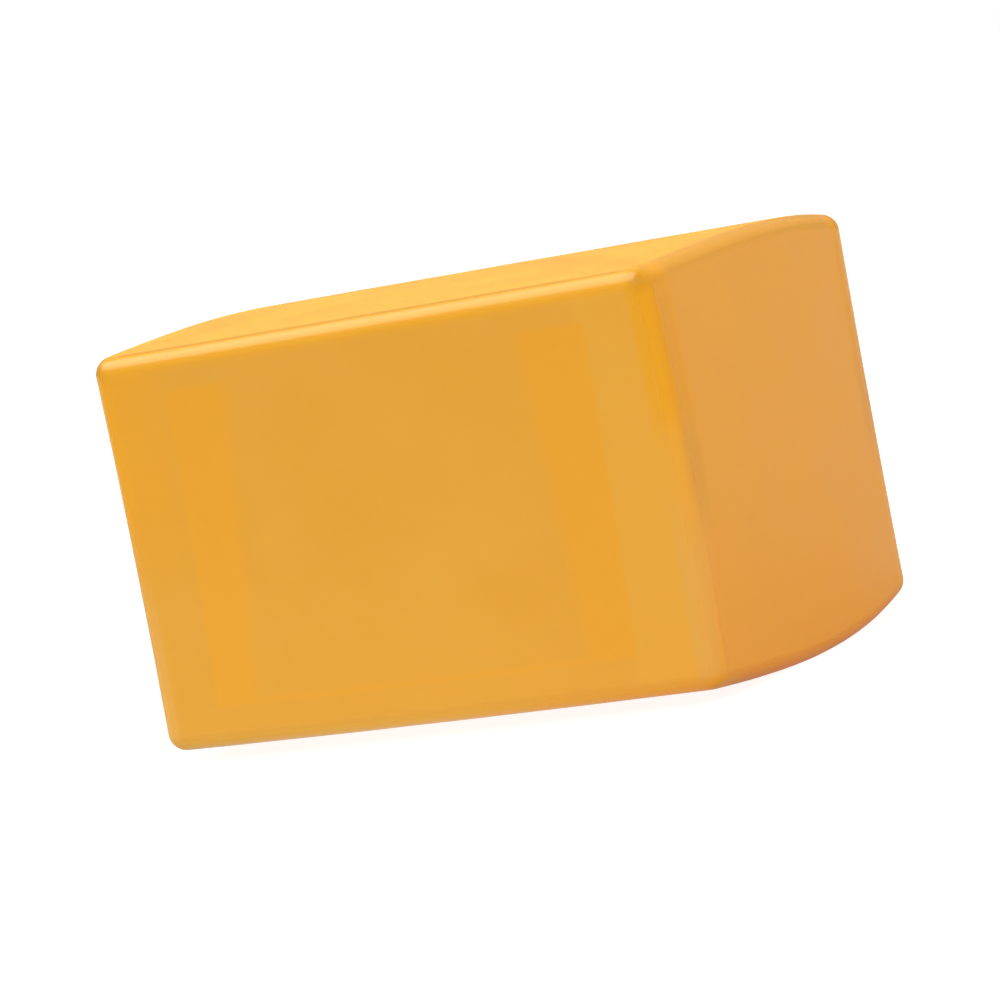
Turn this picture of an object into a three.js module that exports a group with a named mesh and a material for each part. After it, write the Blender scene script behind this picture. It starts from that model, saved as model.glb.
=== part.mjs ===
// A block of cheddar-style cheese analogue: one solid piece, in millimetres, +Z up.
// It stands on a flat spot in the middle of its crowned underside.
// The broad front face looks along -Y and the two ends along +X and -X.
// The origin is in the plane of the flat spot, below the middle of the block.

import * as THREE from 'three';
import { mergeVertices } from 'three/addons/utils/BufferGeometryUtils.js';

// Outer size, measured where two faces meet at a rounded edge.
const LENGTH = 95.6;
const DEPTH = 75.5;
const HEIGHT = 62.0;
const EDGE_RADIUS = 2.9;

// How far each face stands proud of, or lies behind, a plane through its own edges.
const TOP_CROWN = 1.65;
const BOTTOM_CROWN = 2.45;
const END_SWELL_ACROSS = 1.05;
const END_SWELL_UP = 0.1;
const FRONT_SWELL_ACROSS = 1.45;
const FRONT_HOLLOW_UP = 0.55;

// The crests of both crowns lie this share of the half depth behind the middle.
const CREST_SHIFT = 0.136;

// Height of the bottom crown that the flat spot takes off.
const FLAT_CUT = 0.2;

// Facets: steps from a face to the middle of a rounded edge, and steps across each face.
const EDGE_STEPS = 4;
const FACE_STEPS = [12, 20, 8];

const CHEESE_ORANGE = 0xe8a43c;
const CHEESE_ROUGHNESS = 0.4;

// The core is the block less its edge radius all round.
const CORE_HALF = [LENGTH, DEPTH, HEIGHT].map((size) => size / 2 - EDGE_RADIUS);
const BASE_TO_CENTRE = HEIGHT / 2 + BOTTOM_CROWN - FLAT_CUT;

// 1 in the middle of a face and 0 at its two edges, where v runs from -1 to 1.
const arch = (v) => 1 - v * v;

// The same arch with its crest moved back.
const crown = (v) => arch(v - CREST_SHIFT * arch(v));

// A point of the core. u, v and w run from -1 to 1 along the length, depth and height.
function corePoint([u, v, w]) {
  const rise = (w > 0 ? TOP_CROWN : BOTTOM_CROWN) * crown(v);
  return new THREE.Vector3(
    u * (CORE_HALF[0] + END_SWELL_ACROSS * arch(v) + END_SWELL_UP * arch(w)),
    v * (CORE_HALF[1] + FRONT_SWELL_ACROSS * arch(u) - FRONT_HOLLOW_UP * arch(w)),
    w * (CORE_HALF[2] + rise),
  );
}

// How the core's point moves as one of its three parameters grows.
function coreTangent(uvw, axis) {
  const step = 0.001;
  const before = [...uvw];
  const after = [...uvw];
  before[axis] -= step;
  after[axis] += step;
  return corePoint(after).sub(corePoint(before));
}

// The direction square to the core's face that looks along the given axis.
function coreNormal(uvw, axis) {
  const next = coreTangent(uvw, (axis + 1) % 3);
  const last = coreTangent(uvw, (axis + 2) % 3);
  return next.cross(last).normalize();
}

// A grid line of the cube, from -1 to 1, as a place on the core and a lean over the edge.
// The first and last EDGE_STEPS stay at the core's edge and lean by up to 45 degrees.
function placeAndLean(grid, faceSteps) {
  const steps = faceSteps + 2 * EDGE_STEPS;
  const line = Math.round(((grid + 1) / 2) * steps) - steps / 2;
  const past = Math.max(0, Math.abs(line) - faceSteps / 2);
  const place = THREE.MathUtils.clamp(line / (faceSteps / 2), -1, 1);
  const lean = Math.sign(line) * Math.tan((past / EDGE_STEPS) * (Math.PI / 4));
  return { place, lean };
}

// A point of the block: a point of the core moved out by the edge radius. On a face it moves
// square to that face, and round an edge or a corner it moves between the faces' directions.
function blockPoint(cubePoint) {
  const lines = cubePoint.map((grid, axis) => placeAndLean(grid, FACE_STEPS[axis]));
  const uvw = lines.map((line) => line.place);
  const outward = new THREE.Vector3();
  lines.forEach((line, axis) => outward.addScaledVector(coreNormal(uvw, axis), line.lean));
  const point = corePoint(uvw).addScaledVector(outward.normalize(), EDGE_RADIUS);
  point.z = Math.max(0, point.z + BASE_TO_CENTRE);
  return point;
}

// The closed skin of the block: a cube's grid with each of its points moved into place.
function blockGeometry() {
  const steps = FACE_STEPS.map((count) => count + 2 * EDGE_STEPS);
  const cube = new THREE.BoxGeometry(2, 2, 2, ...steps);
  const positions = cube.getAttribute('position');
  for (let i = 0; i < positions.count; i += 1) {
    const point = blockPoint([positions.getX(i), positions.getY(i), positions.getZ(i)]);
    positions.setXYZ(i, point.x, point.y, point.z);
  }
  cube.deleteAttribute('normal');
  cube.deleteAttribute('uv');
  const skin = mergeVertices(cube);
  skin.computeVertexNormals();
  return skin;
}

// The cheese itself: even, dense and softly glossy.
function cheeseBlock() {
  const material = new THREE.MeshStandardMaterial({
    color: CHEESE_ORANGE,
    roughness: CHEESE_ROUGHNESS,
    metalness: 0,
  });
  const mesh = new THREE.Mesh(blockGeometry(), material);
  mesh.name = 'cheese_block';
  return mesh;
}

const block = new THREE.Group();
block.name = 'cheese_analogue_block';
block.add(cheeseBlock());

export default block;
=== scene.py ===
"""A block of cheese analogue: its fine skin and finish, the pale floor, the soft light and the camera.

Metres, +Z up. The broad front face looks along -Y, and the block stands on z = 0.
"""

import math
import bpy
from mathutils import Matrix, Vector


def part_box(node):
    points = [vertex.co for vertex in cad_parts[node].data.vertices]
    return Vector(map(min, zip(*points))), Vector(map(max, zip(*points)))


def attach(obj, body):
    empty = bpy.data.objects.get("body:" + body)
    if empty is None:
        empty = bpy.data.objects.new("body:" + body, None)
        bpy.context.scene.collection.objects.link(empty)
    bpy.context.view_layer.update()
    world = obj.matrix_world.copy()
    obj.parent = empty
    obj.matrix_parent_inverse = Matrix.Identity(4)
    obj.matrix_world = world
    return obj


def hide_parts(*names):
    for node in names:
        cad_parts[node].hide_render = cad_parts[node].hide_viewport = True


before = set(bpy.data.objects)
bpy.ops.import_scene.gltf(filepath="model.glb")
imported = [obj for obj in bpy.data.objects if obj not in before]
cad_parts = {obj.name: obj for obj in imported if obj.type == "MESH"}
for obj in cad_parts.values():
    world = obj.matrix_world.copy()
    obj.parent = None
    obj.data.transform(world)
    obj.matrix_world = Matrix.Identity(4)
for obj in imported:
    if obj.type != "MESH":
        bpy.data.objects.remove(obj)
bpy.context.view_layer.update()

from types import SimpleNamespace

import bpy
import numpy as np
from mathutils import Matrix, Vector

MM = 0.001

# The form of the block, as the solid has it.
EDGE_RADIUS = 2.9 * MM
TOP_CROWN = 1.65 * MM
BOTTOM_CROWN = 2.45 * MM
END_SWELL_ACROSS = 1.05 * MM
END_SWELL_UP = 0.1 * MM
FRONT_SWELL_ACROSS = 1.45 * MM
FRONT_HOLLOW_UP = 0.55 * MM
CREST_SHIFT = 0.136
FLAT_CUT = 0.2 * MM

# The fine skin: steps over half of an edge's turn and across each face, and its faint waves.
EDGE_STEPS = 8
FACE_STEPS = (72, 60, 48)
WAVE_DEPTH = 0.05 * MM
WAVE_LENGTHS = (9 * MM, 26 * MM)
WAVE_COUNT = 14
WAVE_SEED = 11

# The small step either way, on a face that runs from -1 to 1, over which its slope is measured.
NUDGE = 1e-4

# Colours, in linear light: plain white and black, the cheese and its paler and deeper patches, the right of
# the front, the faintly warmer frame on the front, and the low part of the ends, a little bluer as painted
# light.
WHITE = (1, 1, 1, 1)
BLACK = (0, 0, 0, 1)
CHEESE = (0.855, 0.407, 0.034, 1)
PALE = (0.885, 0.440, 0.048, 1)
DEEP = (0.835, 0.385, 0.028, 1)
FRONT_RIGHT = (0.882, 0.434, 0.040, 1)
FRAME_TONE = (0.895, 0.410, 0.022, 1)
END_LOW_LIGHT = (0.845, 0.404, 0.046, 1)

# Painted light and shade along the rounded edges: amber high up on the upright edges, a painted shading of
# their turn, and a pale rim low down, a painted highlight; then painted shading below the top edge of the
# front, painted shade along the top edge of the ends, and painted light on the foot of the front and of the
# ends. The back's edges are like the front's.
PAINTED_SHADING_AMBER = (0.90, 0.415, 0.014, 1)
RIM_HIGHLIGHT = (0.862, 0.440, 0.066, 1)
FRONT_TOP_SHADING = (0.88, 0.418, 0.019, 1)
FRONT_FOOT_LIGHT = (0.98, 0.470, 0.026, 1)
END_TOP_SHADE = (0.71, 0.340, 0.030, 1)
END_FOOT_LIGHT = (0.99, 0.425, 0.012, 1)

# The parts of the block, each pair saying where a part sets in and from where it counts in full: high up,
# above the rim, over the top, the front and the back by how far they are from the middle, and the right of
# the front. The last pair says where the front starts to fade towards the back and where it is gone.
HIGH_UP = (36 * MM, 46 * MM)
ABOVE_RIM = (20 * MM, 34 * MM)
OVER_TOP = (63.2 * MM, 63.8 * MM)
FRONT_AND_BACK = (29 * MM, 34 * MM)
FRONT_RIGHT_FROM = (34.5 * MM, 36.0 * MM)
FRONT_BEHIND = (-36 * MM, -34 * MM)

# How far the painted light and shade of the edges reaches from the middle line of an edge, each pair saying
# where it starts to fade and where it is gone. From an upright edge the distance counts slower on the ends,
# by a factor. The last two say how far onto an end the rim still shows, and where an end's low tone comes
# in.
UPRIGHT_REACH = (2.5 * MM, 3.6 * MM)
SLOWER_ON_ENDS = 2.1
FRONT_TOP_REACH = (1.6 * MM, 2.9 * MM)
END_TOP_REACH = (1.0 * MM, 2.5 * MM)
FOOT_REACH = (0.0 * MM, 2.2 * MM)
END_LOW_REACH = (3.0 * MM, 16.0 * MM)
RIM_ONTO_END = (0.8 * MM, 2.4 * MM)
END_LOW_ONTO_END = (0.8 * MM, 3.0 * MM)

# Painted shade: by what share the colour darkens, and where each shade comes in and goes out: a line on the
# top just inside its two long edges, which stops short of the ends, a band on the ends just past their
# upright edges and below their top, which also runs slantwise over the top, the rim where it turns, and the
# upper corners.
TOP_LINE_SHADE = 0.26
TOP_LINE_IN = (0.8 * MM, 1.2 * MM)
TOP_LINE_OUT = (1.4 * MM, 2.0 * MM)
TOP_LINE_BEFORE_END = (-4 * MM, -0.5 * MM)
UPRIGHT_SHADE = 0.075
UPRIGHT_SHADE_IN = (-0.8 * MM, 2.2 * MM)
UPRIGHT_SHADE_OUT = (4.6 * MM, 7.2 * MM)
UPRIGHT_SHADE_BELOW = (1.5 * MM, 5.0 * MM)
RIM_SHADE = 0.06
RIM_TURN = (-1.6 * MM, 0.8 * MM)
CORNER_SHADE = 0.24
CORNER_REACH = (0.6 * MM, 3.8 * MM)

# The patches' sizes, how finely each is broken up, and their shares: soft clouds, and a fine grain. The
# noise is spread out, so that this stretch of it fills 0 to 1.
CLOUD_SIZE = 16 * MM
CLOUD_DETAIL = 3
CLOUD_SHARE = 0.25
GRAIN_SIZE = 1.1 * MM
GRAIN_DETAIL = 2
GRAIN_SHARE = 0.12
NOISE_STRETCH = (0.3, 0.7)

# The frame on the front: its middle and how it leans, its outer half width, its lower and upper edge, how
# wide its sides are and how they widen upwards, how high its foot is, and how softly its outer edge, its
# sides and its foot fade. High up its tone also reaches out to the block's left.
FRAME_MIDDLE = (0.3 * MM, 33.5 * MM)
FRAME_LEAN = 0.030
FRAME_HALF_WIDTH = 36.3 * MM
FRAME_LOW = 8.3 * MM
FRAME_HIGH = 58.3 * MM
FRAME_SIDE = 7.8 * MM
FRAME_SIDE_WIDENING = 0.08
FRAME_FOOT = 0.2 * MM
FRAME_OUTER_FADE = 1.0 * MM
FRAME_SIDE_FADE = 3.5 * MM
FRAME_FOOT_FADE = 1.6 * MM
FRAME_OPEN_LEFT = (-42 * MM, -30 * MM)
FRAME_OPEN_ABOVE = (25 * MM, 45 * MM)

# How rough the faces and the edges are, from 0 for a mirror to 1 for chalk, how far an edge's gloss reaches,
# how much the clouds change the faces' roughness, and the relief's size, fineness and depth.
FACE_ROUGHNESS = 0.42
EDGE_ROUGHNESS = 0.22
GLOSS_REACH = (0.8 * MM, 2.2 * MM)
GLOSS_PATCHES = 0.10
RELIEF_SIZE = 0.7 * MM
RELIEF_DETAIL = 3
RELIEF_DEPTH = 0.012 * MM

# How the light goes into the cheese: the share that does, how far red, green and blue go, and their scale.
INNER_SHARE = 0.25
INNER_REACH = (1.0, 0.45, 0.12)
INNER_SCALE = 2.0 * MM

# What the block sees of the room low down and high up, and of the floor: its glow far off, in a pool round
# the block and behind it, how the block's own shadow dims and colours it, and what shines up at the front's
# foot at its left and at its right, with where that rises, where it stops at the ends, and where it comes in
# before the front and goes out under the block.
ROOM_GLOW = (0.19, 0.37)
ROOM_RISE = (0.05, 0.6)
FLOOR_GLOW = 0.15
POOL_GLOW = 0.455
POOL_REACH = (0.28, 0.5)
BACK_GLOW = 0.6
BACK_DIRECTION = (-0.47, 0.88, 0.0)
BACK_REACH = (0.1, 0.5)
SHADOW_MIDDLE = (0.085, 0.005, 0.0)
SHADOW_REACH = (0.03, 0.11)
SHADOW_GLOW = 0.80
SHADOW_COLOUR = (1.0, 0.60, 0.48, 1)
FOOT_GLOW = (0.12, 0.30)
FOOT_GLOW_RISE = (-45 * MM, 40 * MM)
FOOT_GLOW_END = (43 * MM, 49 * MM)
FOOT_GLOW_IN = (-45 * MM, -40 * MM)
FOOT_GLOW_OUT = (-34 * MM, -28 * MM)

# The floor as the camera sees it: how wide it is either way, its own grey, the white that it adds, and a
# faint shade near the block.
FLOOR_HALF_WIDTH = 30.0
FLOOR_MATT = 0.3
FLOOR_WHITE = 1.02
FLOOR_SHADE = 0.14
FLOOR_SHADE_REACH = (0.06, 0.22)

# Each soft light's spot, what it faces, its size, its brightness and its colour. Only the card shows in
# the gloss, and it lights nothing else.
SOFT_LIGHTS = {
    "card": ((-0.40, -0.33, 0.714), (-0.40, -0.33, 0.0), (1.0, 0.78), 3.1, (1, 1, 1)),
    "overhead": ((-0.40, -0.187, 0.714), (-0.40, -0.187, 0.0), (1.0, 0.78), 1.7, (1, 1, 1)),
    "above": ((-0.1, 0.5, 0.9), (0.0, 0.0, 0.03), (0.5, 0.5), 9.4, (1, 1, 1)),
    "front": ((0.65, -1.42, 0.9), (0.0, 0.0, 0.03), (1.6, 0.9), 3.85, (1, 1, 1)),
    "right": ((1.3, 0.45, 0.62), (0.0, 0.0, 0.03), (1.8, 1.2), 1.66, (1, 0.84, 0.72)),
    "left": ((-1.3, -0.1, 0.55), (0.0, 0.0, 0.03), (1.2, 0.9), 3.0, (1, 0.88, 0.7)),
    "back": ((0.2, 1.5, 0.6), (0.0, 0.0, 0.03), (1.4, 0.8), 0.6, (1, 1, 1)),
}
CARD = "card"

# The photograph's camera: where it stands round the block, how it is rolled, where the block lies in its
# picture, its lens, and how near it still sees.
CAMERA_AZIMUTH = math.radians(28.06)
CAMERA_ELEVATION = math.radians(5.21)
CAMERA_ROLL = math.radians(10.95)
CAMERA_DISTANCE = 635.1 * MM
BLOCK_RIGHT_OF_AXIS = 1.17 * MM
BLOCK_ABOVE_AXIS = 3.21 * MM
LENS_TO_IMAGE_WIDTH = 4.068
SENSOR = 36.0
NEAREST_SEEN = 10 * MM


def arch(v):
    """1 in the middle of a face and 0 at its two edges, where v runs from -1 to 1."""
    return 1 - v * v


def core(uvw, half):
    """Points of the block less its edge radius: each side at its half size, with arches out or in."""
    u, v, w = uvw
    crown = np.where(w > 0, TOP_CROWN, BOTTOM_CROWN) * arch(v - CREST_SHIFT * arch(v))
    x = u * (half[0] + END_SWELL_ACROSS * arch(v) + END_SWELL_UP * arch(w))
    y = v * (half[1] + FRONT_SWELL_ACROSS * arch(u) - FRONT_HOLLOW_UP * arch(w))
    return np.stack([x, y, w * (half[2] + crown)])


def core_normal(uvw, half, axis):
    """The direction square to the core's face along an axis: the cross product of its two tangents."""
    tangents = []
    for other in ((axis + 1) % 3, (axis + 2) % 3):
        nudge = np.zeros((3, 1))
        nudge[other] = NUDGE
        tangents.append(core(uvw + nudge, half) - core(uvw - nudge, half))
    normal = np.cross(tangents[0], tangents[1], axis=0)
    return normal / np.linalg.norm(normal, axis=0)


def cube_skin(steps):
    """A cube's surface cut into steps: its whole-number corners, and the four of each quad, facing out."""
    quads = []
    for axis in range(3):
        a, b = (axis + 1) % 3, (axis + 2) % 3
        i, j = (grid.ravel() for grid in np.indices((steps[a], steps[b])))
        for side in (0, 1):
            turn = ((0, 0), (1, 0), (1, 1), (0, 1)) if side else ((0, 0), (0, 1), (1, 1), (1, 0))
            quad = np.full((i.size, 4, 3), side * steps[axis])
            quad[:, :, a] = i[:, None] + np.array([da for da, _ in turn])
            quad[:, :, b] = j[:, None] + np.array([db for _, db in turn])
            quads.append(quad)
    corners, index = np.unique(np.concatenate(quads).reshape(-1, 3), axis=0, return_inverse=True)
    return corners, index.reshape(-1, 4)


def place_and_lean(corners, steps):
    """Each corner's place on the core, -1 to 1, and how far it leans over an edge, as a slope up to 1."""
    line = (corners - steps / 2).T
    half_face = np.array(FACE_STEPS)[:, None] / 2
    past = np.maximum(0, np.abs(line) - half_face)
    place = np.clip(line / half_face, -1, 1)
    return place, np.sign(line) * np.tan(past / EDGE_STEPS * math.pi / 4)


def from_edges(place, lean, half):
    """How far each point is over the skin from the middle line of the nearest upright edge, counted slower
    on the ends, how far from that of the nearest level edge, and how much farther it is from the front or
    the back than from an end."""
    turn = EDGE_RADIUS * (math.pi / 4 - np.arctan(np.abs(lean)))
    x, y, z = turn + (1 - np.abs(place)) * half[:, None]
    return np.maximum(x, y / SLOWER_ON_ENDS), np.maximum(z, np.minimum(x, y)), y - x


def waves(points):
    """A faint unevenness: sines along seeded directions, added up and brought to a range of 0 to 1."""
    rng = np.random.default_rng(WAVE_SEED)
    direction = rng.normal(size=(WAVE_COUNT, 3))
    direction /= np.linalg.norm(direction, axis=1)[:, None]
    length = rng.uniform(*WAVE_LENGTHS, WAVE_COUNT)[:, None]
    phase = rng.uniform(0, 2 * math.pi, WAVE_COUNT)[:, None]
    height = np.sin(direction @ points * 2 * math.pi / length + phase).sum(axis=0)
    return (height - height.min()) / np.ptp(height)


def mesh_object(name, points, quads):
    """A smooth-shaded object of quads."""
    mesh = bpy.data.meshes.new(name)
    mesh.from_pydata(points.T.tolist(), [], quads.tolist())
    mesh.shade_smooth()
    made = bpy.data.objects.new(name, mesh)
    bpy.context.scene.collection.objects.link(made)
    return made


def block_skin(low, high):
    """The block's skin: each point of the core moved out by the edge radius, square to the face or turning
    round the edge, less a faint wave, and cut level at the flat spot."""
    swell = np.array([END_SWELL_ACROSS + END_SWELL_UP, FRONT_SWELL_ACROSS, 0])
    size = np.array(high) - np.array(low)
    size[2] += FLAT_CUT - TOP_CROWN - BOTTOM_CROWN
    half = size / 2 - swell - EDGE_RADIUS
    steps = np.array(FACE_STEPS) + 2 * EDGE_STEPS
    corners, quads = cube_skin(steps)
    place, lean = place_and_lean(corners, steps)
    outward = sum(core_normal(place, half, axis) * lean[axis] for axis in range(3))
    outward /= np.linalg.norm(outward, axis=0)
    points = core(place, half)
    points += outward * (EDGE_RADIUS - WAVE_DEPTH * waves(points))
    points[2] += size[2] / 2 + BOTTOM_CROWN - FLAT_CUT
    points[2] = np.maximum(points[2], 0)
    skin = mesh_object("cheese_skin", points, quads)
    names = ("from_upright", "from_level", "onto_end")
    for name, distance in zip(names, from_edges(place, lean, half)):
        skin.data.attributes.new(name, "FLOAT", "POINT").data.foreach_set("value", distance)
    return skin


class Wire:
    """A node's output that takes part in sums, each adding its Math node."""

    def __init__(self, graph, socket):
        self.graph = graph
        self.socket = socket

    def __add__(self, other):
        return self.graph.math("ADD", self, other)

    def __sub__(self, other):
        return self.graph.math("SUBTRACT", self, other)

    def __rsub__(self, other):
        return self.graph.math("SUBTRACT", other, self)

    def __mul__(self, other):
        return self.graph.math("MULTIPLY", self, other)

    def __abs__(self):
        return self.graph.math("ABSOLUTE", self, 0)

    __radd__ = __add__
    __rmul__ = __mul__


class Graph:
    """A material's or world's nodes, added one by one."""

    def __init__(self, owner):
        owner.use_nodes = True
        self.tree = owner.node_tree
        self.tree.nodes.clear()

    def add(self, kind, settings=None, inputs=None, output=0):
        """Adds a node with its settings, then its sockets' values or links, and gives one of its outputs."""
        node = self.tree.nodes.new(kind)
        for name, value in (settings or {}).items():
            setattr(node, name, value)
        for name, value in (inputs or {}).items():
            if isinstance(value, Wire):
                self.tree.links.new(value.socket, node.inputs[name])
            else:
                node.inputs[name].default_value = value
        return Wire(self, node.outputs[output]) if node.outputs else node

    def place(self):
        """Where a point lies, in the object's own metres."""
        return self.add("ShaderNodeTexCoord", output="Object")

    def attribute(self, name):
        """A number kept at each corner of the mesh."""
        return self.add("ShaderNodeAttribute", {"attribute_name": name}, output="Fac")

    def part(self, where, axis):
        """One of a place's three numbers."""
        return self.add("ShaderNodeSeparateXYZ", None, {0: where}, output=axis)

    def math(self, operation, first, second):
        """A number worked out from two numbers."""
        return self.add("ShaderNodeMath", {"operation": operation}, {0: first, 1: second})

    def measure(self, operation, *vectors):
        """A number worked out from one or two vectors."""
        settings = {"operation": operation}
        return self.add("ShaderNodeVectorMath", settings, dict(enumerate(vectors)), output="Value")

    def mix(self, factor, first, second):
        """A colour between two colours, which the node has at these inputs and this output."""
        settings = {"data_type": "RGBA"}
        inputs = {"Factor": factor, 6: first, 7: second}
        return self.add("ShaderNodeMix", settings, inputs, output=2)

    def noise(self, where, size, detail):
        """Soft noise from 0 to 1 whose patches are about the given size."""
        return self.add("ShaderNodeTexNoise", None, {"Vector": where, "Scale": 1 / size, "Detail": detail})

    def between(self, value, low, high):
        """0 below low, 1 above high, and a smooth rise from one to the other."""
        settings = {"interpolation_type": "SMOOTHSTEP"}
        return self.add("ShaderNodeMapRange", settings, {"Value": value, "From Min": low, "From Max": high})

    def near(self, value, full, gone):
        """1 below full, 0 above gone, and a smooth fall from one to the other."""
        return 1 - self.between(value, full, gone)


def block_places(g):
    """Where a point of the block lies, how far it is from the edges, and on which parts of the block."""
    where = g.place()
    height = g.part(where, 2)
    depth = g.part(where, 1)
    from_upright = g.attribute("from_upright")
    return SimpleNamespace(
        where=where,
        across=g.part(where, 0),
        height=height,
        from_upright=from_upright,
        from_level=g.attribute("from_level"),
        onto_end=g.attribute("onto_end"),
        high_up=g.between(height, *HIGH_UP),
        above_rim=g.between(height, *ABOVE_RIM),
        over_top=g.between(height, *OVER_TOP),
        front_or_back=g.between(abs(depth), *FRONT_AND_BACK),
        on_front=g.near(depth, *FRONT_BEHIND),
        upright=g.near(from_upright, *UPRIGHT_REACH),
    )


def front_frame(g, at):
    """1 on a faint frame low and at the sides of the front and high up at its left, and 0 elsewhere."""
    raised = at.height - FRAME_MIDDLE[1]
    leaning = FRAME_LEAN * raised + FRAME_MIDDLE[0]
    aside = abs(at.across - leaning)
    inside = g.near(aside, FRAME_HALF_WIDTH - FRAME_OUTER_FADE, FRAME_HALF_WIDTH)
    inside = inside * g.between(at.height, FRAME_LOW, FRAME_LOW + FRAME_OUTER_FADE)
    inside = inside * g.near(at.height, FRAME_HIGH - FRAME_OUTER_FADE, FRAME_HIGH)
    inner = FRAME_HALF_WIDTH - FRAME_SIDE
    foot_top = FRAME_LOW + FRAME_FOOT
    hollow = g.near(aside + FRAME_SIDE_WIDENING * raised, inner - FRAME_SIDE_FADE, inner)
    hollow = hollow * g.between(at.height, foot_top, foot_top + FRAME_FOOT_FADE)
    open_left = g.near(at.across, *FRAME_OPEN_LEFT) * g.between(at.height, *FRAME_OPEN_ABOVE)
    return g.math("MAXIMUM", inside * (1 - hollow), open_left) * at.on_front


def face_tones(g, at, clouds):
    """The colour of the faces: cheese with faint clouds and grain, and the tones of the front."""
    grain = g.between(g.noise(at.where, GRAIN_SIZE, GRAIN_DETAIL), *NOISE_STRETCH)
    patches = g.mix(grain * GRAIN_SHARE, g.mix(clouds, DEEP, PALE), PALE)
    colour = g.mix(CLOUD_SHARE, CHEESE, patches)
    front_right = g.between(at.across, *FRONT_RIGHT_FROM) * at.on_front
    colour = g.mix(front_right, colour, FRONT_RIGHT)
    return g.mix(front_frame(g, at), colour, FRAME_TONE)


def edge_tones(g, at, colour):
    """A colour with the painted light and shade of the edges, and of the low part of the ends, laid over it
    in turn.
    """
    # Painted shading: a saturated band on the front and back just below their top edge.
    front_top_shading = g.near(at.from_level, *FRONT_TOP_REACH) * (1 - at.over_top) * at.front_or_back * at.high_up
    # Painted light: the low part of the ends a little bluer and less red.
    end_low_light = g.near(at.from_level, *END_LOW_REACH) * (1 - at.high_up)
    end_low_light = end_low_light * g.between(at.onto_end, *END_LOW_ONTO_END)
    # Painted shading: the upright edges high up more saturated, as their turn looks in this light.
    amber_shading = at.upright * at.high_up
    # Painted highlight: a pale rim low on the upright edges.
    rim = at.upright * (1 - at.above_rim) * g.near(at.onto_end, *RIM_ONTO_END)
    # Painted shade: darker along the top edge of the ends.
    end_top_shade = g.near(at.from_level, *END_TOP_REACH) * (1 - at.front_or_back) * at.high_up
    # Painted light: the bottom edges lighter and more saturated where they turn down.
    foot = g.near(at.from_level, *FOOT_REACH) * (1 - at.high_up)
    tones = (
        (front_top_shading, FRONT_TOP_SHADING),
        (end_low_light, END_LOW_LIGHT),
        (amber_shading, PAINTED_SHADING_AMBER),
        (rim, RIM_HIGHLIGHT),
        (end_top_shade, END_TOP_SHADE),
        (foot, g.mix(at.front_or_back, END_FOOT_LIGHT, FRONT_FOOT_LIGHT)),
    )
    for mask, tone in tones:
        colour = g.mix(mask, colour, tone)
    return colour


def edge_shade(g, at):
    """Painted shade: by what share the colour darkens along the edges, at the upper corners and slantwise
    over the top.
    """
    top_line = g.between(at.from_level, *TOP_LINE_IN) * g.near(at.from_level, *TOP_LINE_OUT)
    top_line = top_line * at.over_top * at.front_or_back * g.near(at.onto_end, *TOP_LINE_BEFORE_END)
    past_turn = g.between(at.onto_end, *UPRIGHT_SHADE_IN) * g.near(at.onto_end, *UPRIGHT_SHADE_OUT)
    past_turn = past_turn * at.above_rim * g.between(at.from_level, *UPRIGHT_SHADE_BELOW)
    rim_turn = g.between(at.onto_end, *RIM_TURN) * g.near(at.onto_end, *RIM_ONTO_END)
    rim_turn = rim_turn * (1 - at.above_rim) * at.upright
    corner = g.near(at.from_upright, *CORNER_REACH) * g.near(at.from_level, *CORNER_REACH) * at.high_up
    shade = UPRIGHT_SHADE * past_turn + TOP_LINE_SHADE * top_line
    return shade + RIM_SHADE * rim_turn + CORNER_SHADE * corner


def cheese_finish():
    """Cheddar-orange cheese: faint soft patches and grain, rounded edges with painted light and shade in
    their colour and more gloss than the faces, and a fine waxy relief."""
    material = bpy.data.materials.new("cheese")
    g = Graph(material)
    at = block_places(g)
    clouds = g.between(g.noise(at.where, CLOUD_SIZE, CLOUD_DETAIL), *NOISE_STRETCH)
    colour = edge_tones(g, at, face_tones(g, at, clouds))
    face_rough = FACE_ROUGHNESS + GLOSS_PATCHES * (clouds - 0.5)
    on_face = g.between(at.from_upright, *GLOSS_REACH) * g.between(at.from_level, *GLOSS_REACH)
    relief = g.noise(at.where, RELIEF_SIZE, RELIEF_DETAIL)
    surface = g.add(
        "ShaderNodeBsdfPrincipled",
        {"subsurface_method": "RANDOM_WALK"},
        {
            # The colour darkened towards black by the painted shade along the edges and corners.
            "Base Color": g.mix(edge_shade(g, at), colour, BLACK),
            "Roughness": EDGE_ROUGHNESS + (face_rough - EDGE_ROUGHNESS) * on_face,
            "Normal": g.add("ShaderNodeBump", None, {"Distance": RELIEF_DEPTH, "Height": relief}),
            "Subsurface Weight": INNER_SHARE,
            "Subsurface Radius": INNER_REACH,
            "Subsurface Scale": INNER_SCALE,
        },
    )
    g.add("ShaderNodeOutputMaterial", None, {"Surface": surface})
    return material


def area_light(name, spot, aim, size, power, colour):
    """A rectangular soft light at a spot, facing its aim, unseen by the camera."""
    light = bpy.data.lights.new(name, "AREA")
    light.shape = "RECTANGLE"
    light.size, light.size_y = size
    light.energy = power
    light.color = colour
    lamp = bpy.data.objects.new(name, light)
    lamp.location = spot
    lamp.rotation_mode = "QUATERNION"
    lamp.rotation_quaternion = (Vector(aim) - Vector(spot)).to_track_quat("-Z", "Y")
    lamp.visible_camera = False
    bpy.context.scene.collection.objects.link(lamp)
    return lamp


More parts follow.
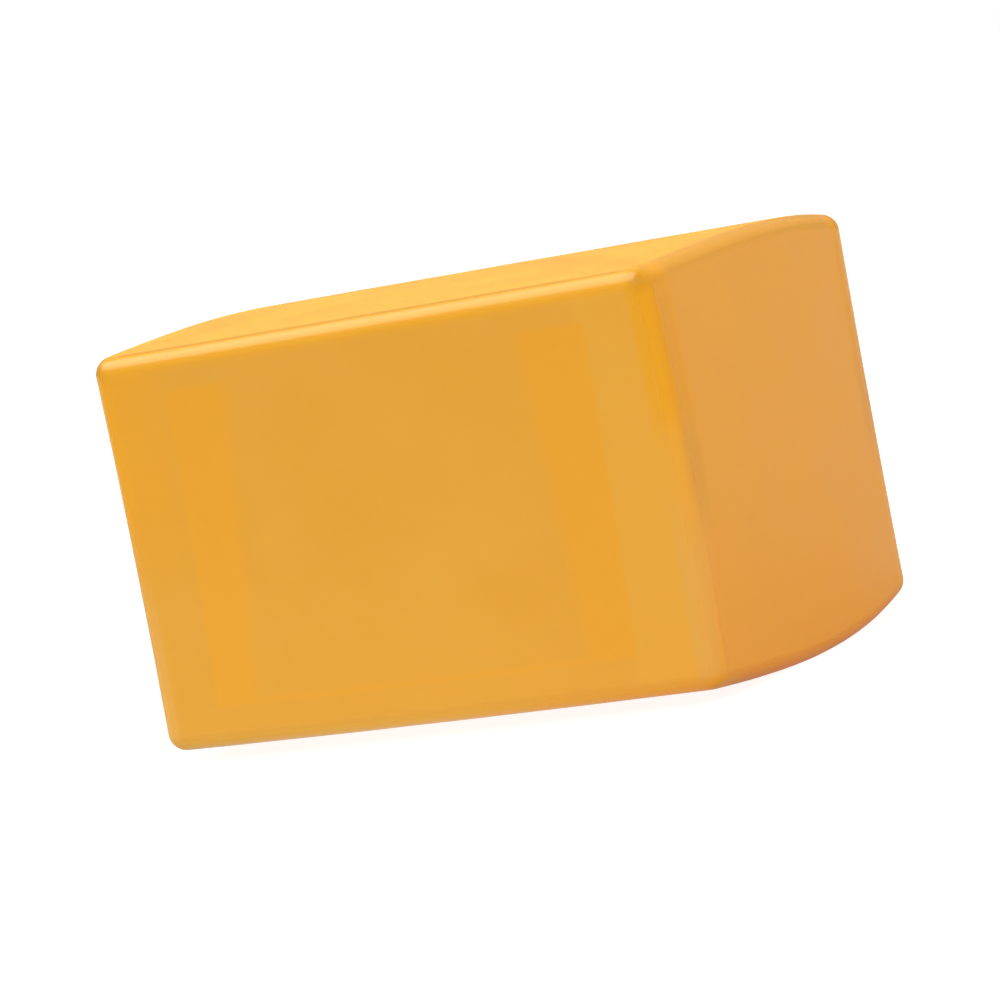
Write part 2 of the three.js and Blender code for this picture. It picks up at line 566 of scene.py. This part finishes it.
def foot_glow(g, where):
    """The light from the floor under the front's foot: it grows from left to right and stops at the ends."""
    left, right = FOOT_GLOW
    across = g.part(where, 0)
    depth = g.part(where, 1)
    strength = left + (right - left) * g.between(across, *FOOT_GLOW_RISE)
    strength = strength * g.near(abs(across), *FOOT_GLOW_END)
    return strength * g.between(depth, *FOOT_GLOW_IN) * g.near(depth, *FOOT_GLOW_OUT)


def floor_glow(g, where, from_block):
    """The floor as the block sees it: a pool of light round it, paler behind it, dim beyond, with the
    block's own soft shadow beside it and more light at the front's foot."""
    beyond = g.between(from_block, *POOL_REACH)
    behind = g.between(g.measure("DOT_PRODUCT", where, BACK_DIRECTION), *BACK_REACH)
    clear = g.between(g.measure("DISTANCE", where, SHADOW_MIDDLE), *SHADOW_REACH)
    bright = FLOOR_GLOW + POOL_GLOW * (1 - beyond) + BACK_GLOW * behind * beyond + foot_glow(g, where)
    colour = g.mix(clear, SHADOW_COLOUR, WHITE)
    strength = bright * (SHADOW_GLOW + (1 - SHADOW_GLOW) * clear)
    return g.add("ShaderNodeEmission", None, {"Color": colour, "Strength": strength})


def floor():
    """A wide pale floor: near white to the camera with a faint shade, and a soft glow to the block."""
    side = FLOOR_HALF_WIDTH
    points = np.array([[-side, side, side, -side], [-side, -side, side, side], [0.0, 0.0, 0.0, 0.0]])
    ground = mesh_object("floor", points, np.array([[0, 1, 2, 3]]))
    material = bpy.data.materials.new("pale_floor")
    g = Graph(material)
    where = g.place()
    from_block = g.measure("LENGTH", where)
    matt = g.add("ShaderNodeBsdfDiffuse", None, {"Color": (FLOOR_MATT, FLOOR_MATT, FLOOR_MATT, 1)})
    near_white = FLOOR_WHITE - FLOOR_SHADE * g.near(from_block, *FLOOR_SHADE_REACH)
    white = g.add("ShaderNodeEmission", None, {"Strength": near_white})
    shown = g.add("ShaderNodeAddShader", None, {0: matt, 1: white})
    seen = g.add("ShaderNodeLightPath", output="Is Camera Ray")
    both = g.add("ShaderNodeMixShader", None, {0: seen, 1: floor_glow(g, where, from_block), 2: shown})
    g.add("ShaderNodeOutputMaterial", None, {"Surface": both})
    ground.data.materials.append(material)


def studio():
    """White all round to the camera, a dim glow to the block, and soft lights over and round it."""
    world = bpy.data.worlds.new("studio")
    bpy.context.scene.world = world
    g = Graph(world)
    seen = g.add("ShaderNodeLightPath", output="Is Camera Ray")
    direction = g.add("ShaderNodeTexCoord", output="Generated")
    low, high = ROOM_GLOW
    dim = low + (high - low) * g.between(g.part(direction, 2), *ROOM_RISE)
    glow = g.add("ShaderNodeBackground", None, {"Color": WHITE, "Strength": seen + dim * (1 - seen)})
    g.add("ShaderNodeOutputWorld", None, {"Surface": glow})
    for name, (spot, aim, size, brightness, colour) in SOFT_LIGHTS.items():
        lamp = area_light(name, spot, aim, size, brightness * math.pi * size[0] * size[1], colour)
        lamp.visible_glossy = name == CARD
        lamp.visible_diffuse = name != CARD


def camera(middle):
    """The photograph's view: round and above the block, then rolled about its own axis."""
    ahead = Vector((
        -math.sin(CAMERA_AZIMUTH) * math.cos(CAMERA_ELEVATION),
        math.cos(CAMERA_AZIMUTH) * math.cos(CAMERA_ELEVATION),
        -math.sin(CAMERA_ELEVATION),
    ))
    level_right = ahead.cross(Vector((0, 0, 1))).normalized()
    level_up = level_right.cross(ahead)
    right = level_right * math.cos(CAMERA_ROLL) - level_up * math.sin(CAMERA_ROLL)
    up = level_up * math.cos(CAMERA_ROLL) + level_right * math.sin(CAMERA_ROLL)
    lens = bpy.data.cameras.new("camera")
    lens.sensor_width = SENSOR
    lens.lens = LENS_TO_IMAGE_WIDTH * SENSOR
    lens.clip_start = NEAREST_SEEN
    eye = bpy.data.objects.new("camera", lens)
    eye.rotation_mode = "QUATERNION"
    eye.rotation_quaternion = Matrix((right, up, -ahead)).transposed().to_quaternion()
    eye.location = middle - right * BLOCK_RIGHT_OF_AXIS - up * BLOCK_ABOVE_AXIS - ahead * CAMERA_DISTANCE
    bpy.context.scene.collection.objects.link(eye)
    bpy.context.scene.camera = eye


low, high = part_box("cheese_block")
cheese = block_skin(low, high)
cheese.data.materials.append(cheese_finish())
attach(cheese, "root")
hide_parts("cheese_block")

# The middle between the block's edges, a little above the middle of its box.
cheese_middle = Vector((0, 0, (high.z + BOTTOM_CROWN - FLAT_CUT - TOP_CROWN) / 2))
camera(cheese_middle)
floor()
studio()
bpy.context.scene.view_settings.view_transform = "Standard"
